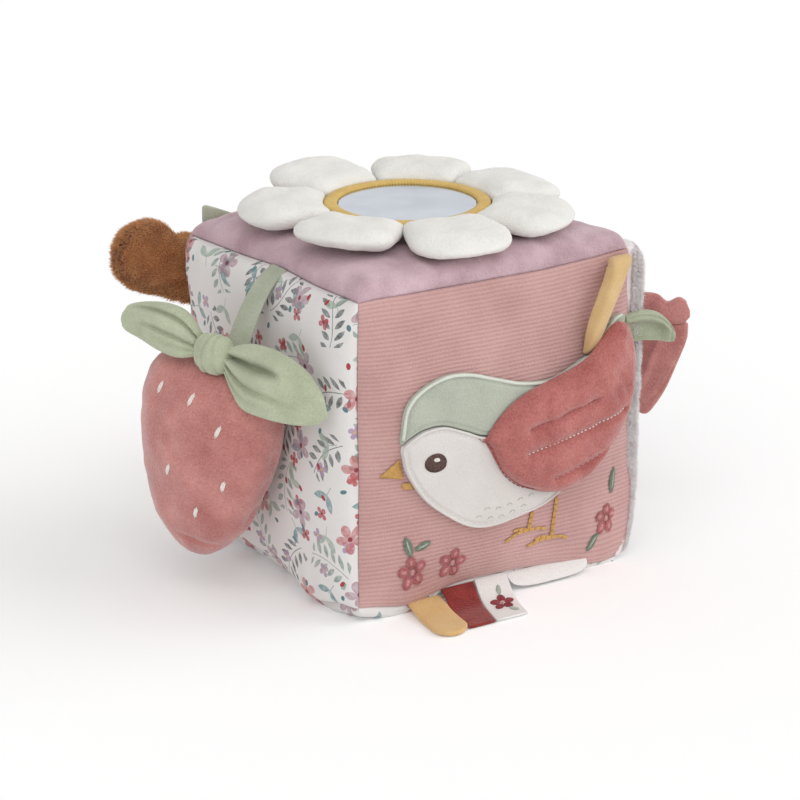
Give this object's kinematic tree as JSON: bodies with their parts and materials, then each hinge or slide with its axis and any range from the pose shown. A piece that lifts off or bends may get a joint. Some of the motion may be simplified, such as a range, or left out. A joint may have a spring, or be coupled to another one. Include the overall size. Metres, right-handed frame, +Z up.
{
  "type": "soft fabric block",
  "caption": "Soft padded activity block with a mirror flower, a hanging strawberry, a bird with a loose wing, a butterfly, a plush tail and ribbon tabs.",
  "frame": {"origin": "middle of the flat area of the bottom that the block stands on", "axes": "+Z up out of the flower, -Y out of the front with the bird, -X out of the side with the strawberry, +X out of the side with the butterfly"},
  "size_m": [0.2615, 0.2067, 0.1701],
  "materials": {
    "lavender_velour": "short-pile velour, lavender",
    "pink_rib": "fine horizontal rib, dusty pink",
    "printed_cotton": "off-white cotton with a small scattered flower print",
    "lilac_plush": "fuzzy plush, pale grey-lilac",
    "sand_velour": "short-pile velour, sand",
    "fibre": "loose polyester fibre",
    "white_velour": "short-pile velour, off-white",
    "mustard_satin": "smooth woven, mustard",
    "mirror_foil": "flexible safety mirror",
    "rose_velour": "velour, dusty rose",
    "sage_velour": "short-pile velour, sage green",
    "cream_velour": "short-pile velour, cream",
    "brown_plush": "long-pile plush, chestnut brown",
    "wine_ribbon": "velvet ribbon, wine red",
    "white_ribbon": "white woven ribbon"
  },
  "bodies": {
    "block": {"top_panel": "lavender_velour", "front_panel": "pink_rib", "left_panel": "printed_cotton", "right_panel": "lilac_plush", "back_panel": "sand_velour", "bottom_panel": "printed_cotton", "filling": "fibre", "flower_pad": "white_velour", "mirror_ring": "mustard_satin", "mirror": "mirror_foil", "bird_cap": "sage_velour", "bird_breast": "cream_velour", "yellow_strap": "mustard_satin", "butterfly_body": "mustard_satin", "squirrel_body": "brown_plush", "squirrel_head": "brown_plush", "squirrel_ear": "brown_plush"},
    "petal_1": {"petal_1": "white_velour"},
    "petal_2": {"petal_2": "white_velour"},
    "petal_3": {"petal_3": "white_velour"},
    "petal_4": {"petal_4": "white_velour"},
    "petal_5": {"petal_5": "white_velour"},
    "petal_6": {"petal_6": "white_velour"},
    "petal_7": {"petal_7": "white_velour"},
    "strawberry": {"strawberry_strap": "sage_velour", "strawberry_body": "rose_velour", "bow_knot": "sage_velour", "bow_leaf_left": "sage_velour", "bow_leaf_right": "sage_velour"},
    "bird_wing": {"bird_wing": "rose_velour"},
    "bird_tail": {"bird_tail": "sage_velour"},
    "butterfly_front": {"butterfly_upper_wing_front": "rose_velour", "butterfly_lower_wing_front": "rose_velour"},
    "butterfly_back": {"butterfly_upper_wing_back": "rose_velour", "butterfly_lower_wing_back": "rose_velour"},
    "squirrel_tail": {"squirrel_tail": "brown_plush"},
    "tab_yellow": {"tab_yellow": "mustard_satin"},
    "tab_red": {"tab_red": "wine_ribbon"},
    "tab_flower": {"tab_flower": "white_ribbon"},
    "tab_label": {"tab_label": "white_ribbon"},
    "tab_sage": {"tab_sage": "sage_velour"}
  },
  "joints": [
    {"name": "petal_1_lift", "type": "hinge", "parent": "block", "child": "petal_1", "pos_m": [0.03805, 0, 0.1665], "axis": [0, -1, 0], "range_deg": [0, 35]},
    {"name": "petal_2_lift", "type": "hinge", "parent": "block", "child": "petal_2", "pos_m": [0.02372, 0.02975, 0.1665], "axis": [0.7818, -0.6235, 0], "range_deg": [0, 35]},
    {"name": "petal_3_lift", "type": "hinge", "parent": "block", "child": "petal_3", "pos_m": [-0.00847, 0.0371, 0.1665], "axis": [0.9749, 0.2225, 0], "range_deg": [0, 35]},
    {"name": "petal_4_lift", "type": "hinge", "parent": "block", "child": "petal_4", "pos_m": [-0.03428, 0.01651, 0.1665], "axis": [0.4339, 0.901, 0], "range_deg": [0, 35]},
    {"name": "petal_5_lift", "type": "hinge", "parent": "block", "child": "petal_5", "pos_m": [-0.03271, -0.01943, 0.1665], "axis": [-0.5108, 0.8597, 0], "range_deg": [0, 35]},
    {"name": "petal_6_lift", "type": "hinge", "parent": "block", "child": "petal_6", "pos_m": [-0.00684, -0.03743, 0.1665], "axis": [-0.9837, 0.1798, 0], "range_deg": [0, 35]},
    {"name": "petal_7_lift", "type": "hinge", "parent": "block", "child": "petal_7", "pos_m": [0.02424, -0.02933, 0.1665], "axis": [-0.7708, -0.637, 0], "range_deg": [0, 35]},
    {"name": "strawberry_swing", "type": "hinge", "parent": "block", "child": "strawberry", "pos_m": [-0.0704, -0.0064, 0.1473], "axis": [0, 1, 0], "range_deg": [0, 70]},
    {"name": "wing_lift", "type": "hinge", "parent": "block", "child": "bird_wing", "pos_m": [-0.0172, -0.0817, 0.0779], "axis": [0.6489, 0, -0.7609], "range_deg": [0, 110], "stiffness_Nm_per_rad": 0.02, "springref_deg": -17.19},
    {"name": "bird_tail_bend", "type": "hinge", "parent": "block", "child": "bird_tail", "pos_m": [0.0693, -0.0693, 0.1125], "axis": [0, 0, 1], "range_deg": [-40, 15], "stiffness_Nm_per_rad": 0.01},
    {"name": "butterfly_front_fold", "type": "hinge", "parent": "block", "child": "butterfly_front", "pos_m": [0.0914, 0, 0.087], "axis": [0, 0, 1], "range_deg": [-35, 25], "stiffness_Nm_per_rad": 0.02},
    {"name": "butterfly_back_fold", "type": "hinge", "parent": "block", "child": "butterfly_back", "pos_m": [0.0914, 0, 0.087], "axis": [0, 0, -1], "range_deg": [-35, 25], "stiffness_Nm_per_rad": 0.02},
    {"name": "squirrel_tail_swing", "type": "hinge", "parent": "block", "child": "squirrel_tail", "pos_m": [-0.0203, 0.0846, 0.08], "axis": [-0.7926, 0, -0.6097], "range_deg": [0, 70], "stiffness_Nm_per_rad": 0.02, "springref_deg": -5.73},
    {"name": "tab_yellow_lift", "type": "hinge", "parent": "block", "child": "tab_yellow", "pos_m": [-0.03555, -0.0693, 0.0087], "axis": [-1, 0, 0], "range_deg": [0, 80]},
    {"name": "tab_red_lift", "type": "hinge", "parent": "block", "child": "tab_red", "pos_m": [-0.01795, -0.0693, 0.0087], "axis": [-1, 0, 0], "range_deg": [0, 80]},
    {"name": "tab_flower_lift", "type": "hinge", "parent": "block", "child": "tab_flower", "pos_m": [-0.00035, -0.0693, 0.0087], "axis": [-1, 0, 0], "range_deg": [0, 80]},
    {"name": "tab_label_lift", "type": "hinge", "parent": "block", "child": "tab_label", "pos_m": [0.0297, -0.0693, 0.0087], "axis": [-1, 0, 0], "range_deg": [0, 80]},
    {"name": "tab_sage_bend", "type": "hinge", "parent": "block", "child": "tab_sage", "pos_m": [-0.0575, 0.0705, 0.1483], "axis": [1, 0, 0], "range_deg": [-60, 30], "stiffness_Nm_per_rad": 0.005}
  ]
}
